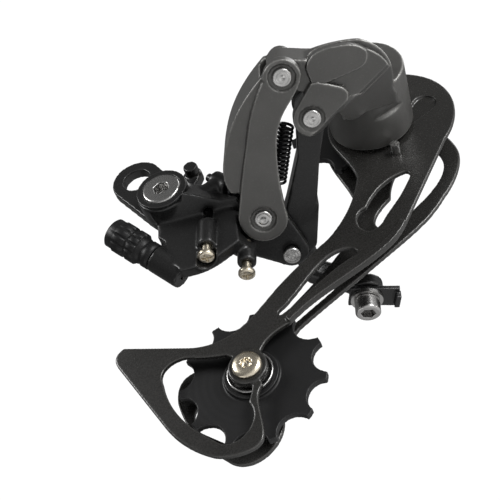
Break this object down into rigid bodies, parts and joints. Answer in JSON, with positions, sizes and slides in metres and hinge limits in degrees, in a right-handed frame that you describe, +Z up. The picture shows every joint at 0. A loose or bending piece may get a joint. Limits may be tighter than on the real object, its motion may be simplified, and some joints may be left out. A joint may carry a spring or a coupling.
{
  "type": "rear bicycle derailleur",
  "caption": "Long-cage rear bicycle derailleur: hanger bracket, sprung parallelogram, jockey-wheel cage, cable adjuster and clamp.",
  "frame": {"origin": "centre of the hanger bolt hole, on the bracket face that lies on the bicycle's hanger", "axes": "+X forward along the bicycle, +Z up, -Y outward to the drive side, along the hanger bolt"},
  "size_m": [0.1629, 0.0925, 0.1179],
  "materials": {
    "satin_grey_shell": "dark grey satin with fine grain",
    "black_casting": "black semi-gloss",
    "cage_plate": "black satin over pressed plate",
    "pulley_plastic": "moulded black nylon",
    "black_steel": "black coated steel",
    "bright_steel": "bright zinc plated",
    "warm_screw_plating": "champagne plated steel",
    "bushing_plastic": "grey acetal"
  },
  "bodies": {
    "hanger_mount": {"hanger_bracket": "black_casting", "b_axle_bolt": "bright_steel", "b_collar": "black_casting"},
    "b_knuckle": {"b_knuckle": "black_casting", "b_bushing": "bushing_plastic", "pin_b_outer": "bright_steel", "pin_b_inner": "bright_steel"},
    "b_tension_screw": {"b_tension_screw": "black_steel"},
    "limit_screw_high": {"limit_screw_high": "warm_screw_plating"},
    "limit_screw_low": {"limit_screw_low": "warm_screw_plating"},
    "adjuster_stem": {"adjuster_stem": "bright_steel"},
    "adjuster_knob": {"adjuster_knob": "pulley_plastic"},
    "outer_link": {"outer_link": "satin_grey_shell", "return_spring": "black_steel"},
    "inner_link": {"inner_link": "black_casting", "cable_clamp_plate": "black_steel", "cable_clamp_washer": "bright_steel", "cable_clamp_bolt": "bright_steel"},
    "p_knuckle": {"p_knuckle": "satin_grey_shell", "p_cover": "satin_grey_shell", "p_bushing": "bushing_plastic", "p_torsion_spring": "black_steel", "p_seal": "black_steel", "pin_p_outer": "bright_steel", "pin_p_inner": "bright_steel"},
    "cage": {"p_axle": "bright_steel", "outer_cage_plate": "cage_plate", "inner_cage_plate": "cage_plate", "cage_stop_pin": "bright_steel", "guide_bushing": "bright_steel", "tension_bushing": "bright_steel", "guide_dust_caps": "bright_steel", "tension_dust_caps": "bright_steel", "guide_bolt": "warm_screw_plating", "tension_bolt": "warm_screw_plating"},
    "guide_pulley": {"guide_pulley": "pulley_plastic"},
    "tension_pulley": {"tension_pulley": "pulley_plastic"}
  },
  "joints": [
    {"name": "b_pivot", "type": "hinge", "parent": "hanger_mount", "child": "b_knuckle", "pos_m": [-0.003, -0.008, -0.022], "axis": [0, 1, 0], "range_deg": [0, 30]},
    {"name": "link_swing", "type": "hinge", "parent": "b_knuckle", "child": "outer_link", "pos_m": [0.01684, -0.00079, -0.04819], "axis": [0.6187, 0.3393, 0.7085], "range_deg": [0, 56], "stiffness_Nm_per_rad": 0.5, "springref_deg": -45.84},
    {"name": "inner_link_swing", "type": "hinge", "parent": "b_knuckle", "child": "inner_link", "pos_m": [0.01732, 0.01445, -0.0559], "axis": [0.6187, 0.3393, 0.7085], "range_deg": [-1, 57]},
    {"name": "p_knuckle_pivot", "type": "hinge", "parent": "outer_link", "child": "p_knuckle", "pos_m": [0.04055, -0.04252, -0.0489], "axis": [0.6187, 0.3393, 0.7085], "range_deg": [-57, 1]},
    {"name": "cage_pivot", "type": "hinge", "parent": "p_knuckle", "child": "cage", "pos_m": [0.07, 0, -0.0524], "axis": [0, -1, 0], "range_deg": [0, 120], "stiffness_Nm_per_rad": 0.12, "springref_deg": -143.24},
    {"name": "guide_pulley_spin", "type": "hinge", "parent": "cage", "child": "guide_pulley", "pos_m": [0.07063, 0.012, -0.04118], "axis": [0, -1, 0], "continuous": true},
    {"name": "tension_pulley_spin", "type": "hinge", "parent": "cage", "child": "tension_pulley", "pos_m": [-0.03259, 0.012, -0.08502], "axis": [0, -1, 0], "continuous": true},
    {"name": "adjuster_travel", "type": "slide", "parent": "b_knuckle", "child": "adjuster_stem", "axis": [-0.1101, -0.2902, 0.9506], "range_m": [0, 0.004]},
    {"name": "adjuster_turn", "type": "hinge", "parent": "adjuster_stem", "child": "adjuster_knob", "pos_m": [-0.024, -0.009, -0.0175], "axis": [-0.1101, -0.2902, 0.9506], "range_deg": [-40, 1840]},
    {"name": "b_tension_screw_travel", "type": "slide", "parent": "b_knuckle", "child": "b_tension_screw", "axis": [0, 0, -1], "range_m": [0, 0.003]},
    {"name": "limit_screw_high_travel", "type": "slide", "parent": "b_knuckle", "child": "limit_screw_high", "axis": [-0.7267, 0, -0.6869], "range_m": [-0.001, 0.003]},
    {"name": "limit_screw_low_travel", "type": "slide", "parent": "b_knuckle", "child": "limit_screw_low", "axis": [-0.7267, 0, -0.6869], "range_m": [-0.001, 0.003]}
  ],
  "couplings": [
    {"joint": "inner_link_swing", "follows": "link_swing", "ratio": 1},
    {"joint": "p_knuckle_pivot", "follows": "link_swing", "ratio": -1},
    {"joint": "adjuster_turn", "follows": "adjuster_travel", "rad_per_m": 7854}
  ]
}
